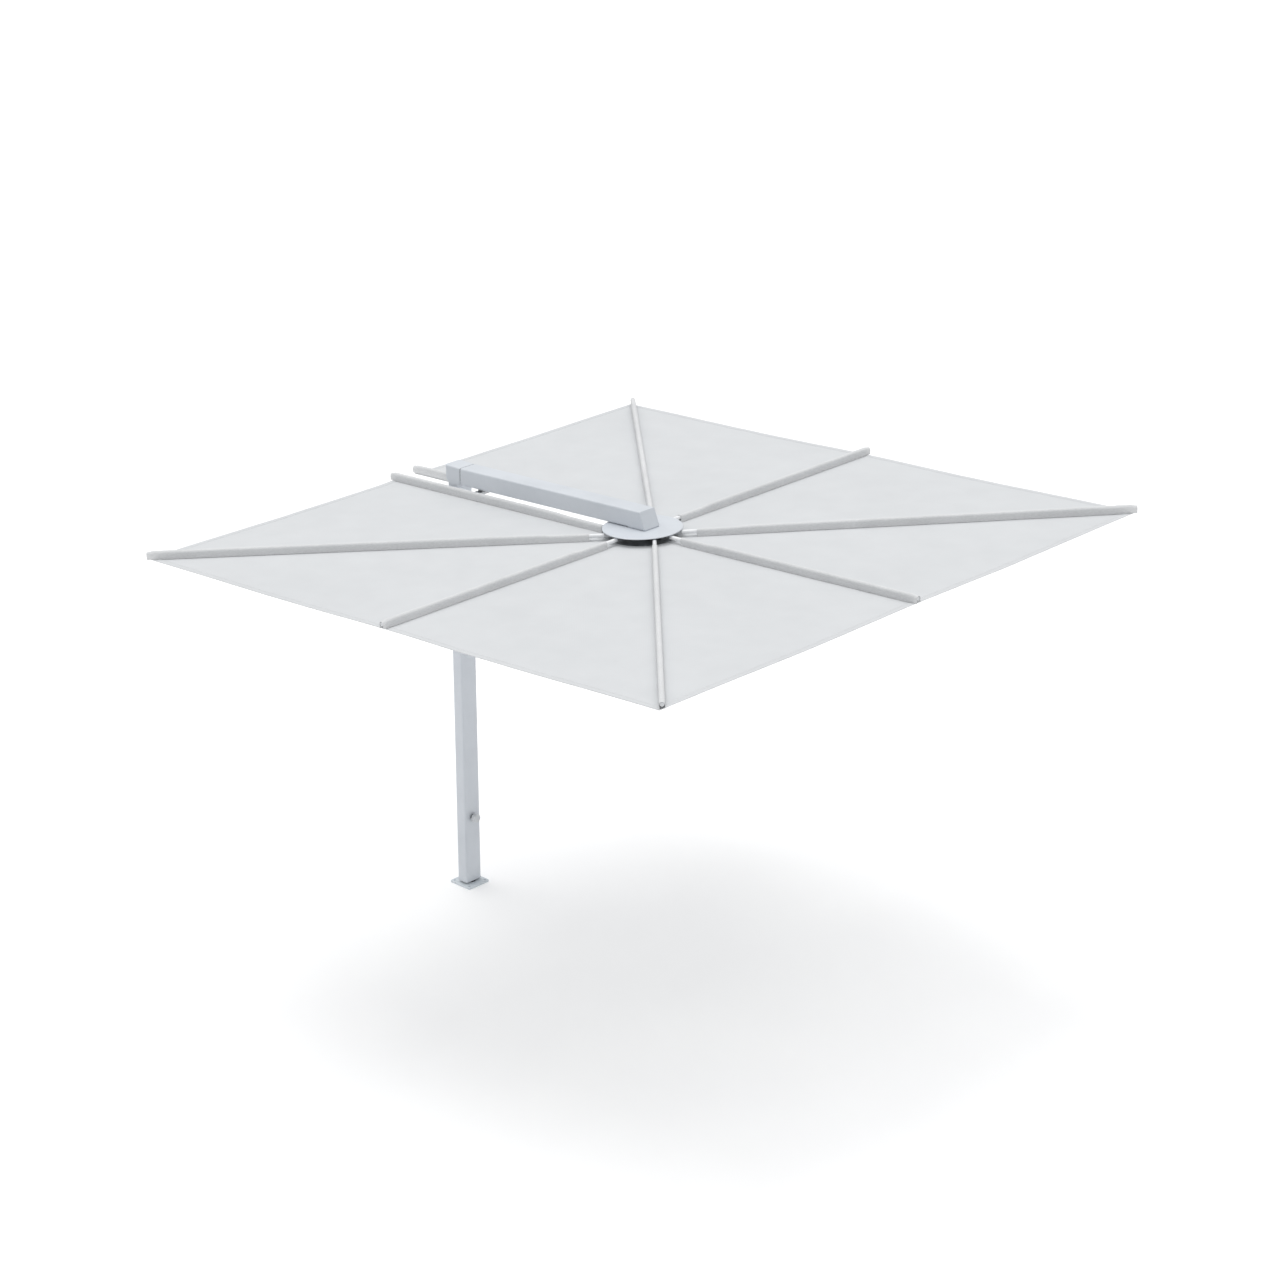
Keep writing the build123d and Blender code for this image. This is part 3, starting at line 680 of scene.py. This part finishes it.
CAMERA_AZIMUTH = 43.386         # round the canopy's centre, degrees
CAMERA_ELEVATION = 19.835
CAMERA_DISTANCE = 14.0
CAMERA_YAW = 43.447             # where it points: turn, dip and roll, degrees
CAMERA_DIP = 21.595
CAMERA_ROLL = -0.177
CAMERA_LENS = 91.734


def make_floor():
    """A wide pale floor."""
    shader = Shader("pale_floor")
    tone = shader.ramp(shader.noise(0.8, 3.0), (0.86, 0.86, 0.865), (0.90, 0.90, 0.90))
    shader.set(Specular_IOR_Level=0.1, Emission_Color=(1, 1, 1, 1), Emission_Strength=FLOOR_GLOW)
    material = shader.finish(tone, shader.spread(shader.noise(3), 0.85, 0.95))
    points = [(x * FLOOR_REACH, y * FLOOR_REACH, 0) for x, y in ((-1, -1), (1, -1), (1, 1), (-1, 1))]
    floor = mesh_object("floor", points, [(0, 1, 2, 3)], [(x, y) for x, y, _ in points], material, False)


def make_light(name, location, target, strength, angle):
    """A sun lamp that shines from location towards target."""
    data = bpy.data.lights.new(name, "SUN")
    data.energy = strength
    data.angle = angle
    light = bpy.data.objects.new(name, data)
    light.location = location
    light.rotation_euler = (Vector(target) - Vector(location)).to_track_quat("-Z", "Y").to_euler()
    bpy.context.scene.collection.objects.link(light)


def make_world():
    """White studio surroundings, brightest overhead."""
    world = bpy.data.worlds.new("studio")
    world.use_nodes = True
    tree = world.node_tree
    coords = tree.nodes.new("ShaderNodeTexCoord")
    split = tree.nodes.new("ShaderNodeSeparateXYZ")
    level = tree.nodes.new("ShaderNodeMapRange")
    for name, value in (("From Min", 0.0), ("From Max", 1.0), ("To Min", SKY_LOW), ("To Max", SKY_HIGH)):
        level.inputs[name].default_value = value
    tree.links.new(coords.outputs["Generated"], split.inputs[0])
    tree.links.new(split.outputs["Z"], level.inputs["Value"])
    tree.links.new(level.outputs["Result"], tree.nodes["Background"].inputs["Strength"])
    tree.nodes["Background"].inputs["Color"].default_value = (1.0, 1.0, 1.0, 1)
    bpy.context.scene.world = world


def make_lights():
    """Two broad soft lights overhead: the main one from the mast's side, a weaker one from the far side."""
    make_light("key", (-2.8, 0.3, 8.0), (0, 0, 0), KEY_STRENGTH, math.radians(30))
    make_light("rim", (1.2, 2.6, 8.0), (0, 0, 0), RIM_STRENGTH, math.radians(40))


def make_camera():
    data = bpy.data.cameras.new("camera")
    data.lens = CAMERA_LENS
    data.sensor_width = 36.0
    data.clip_end = 200.0
    camera = bpy.data.objects.new("camera", data)
    azimuth, elevation = math.radians(CAMERA_AZIMUTH), math.radians(CAMERA_ELEVATION)
    back = Vector((math.sin(azimuth) * math.cos(elevation), -math.cos(azimuth) * math.cos(elevation),
                   math.sin(elevation)))
    centre = HUB.translation - Vector((0, 0, 0.02))
    camera.location = centre + back * CAMERA_DISTANCE
    turn = Matrix.Rotation(math.radians(CAMERA_YAW), 3, "Z")
    dip = Matrix.Rotation(math.radians(90 - CAMERA_DIP), 3, "X")
    roll = Matrix.Rotation(math.radians(CAMERA_ROLL), 3, "Z")
    camera.rotation_euler = (turn @ dip @ roll).to_euler()
    bpy.context.scene.collection.objects.link(camera)
    bpy.context.scene.camera = camera


make_camera()
paint_cad()
make_fabric()
make_floor()
make_world()
make_lights()
bpy.context.scene.view_settings.view_transform = "Standard"
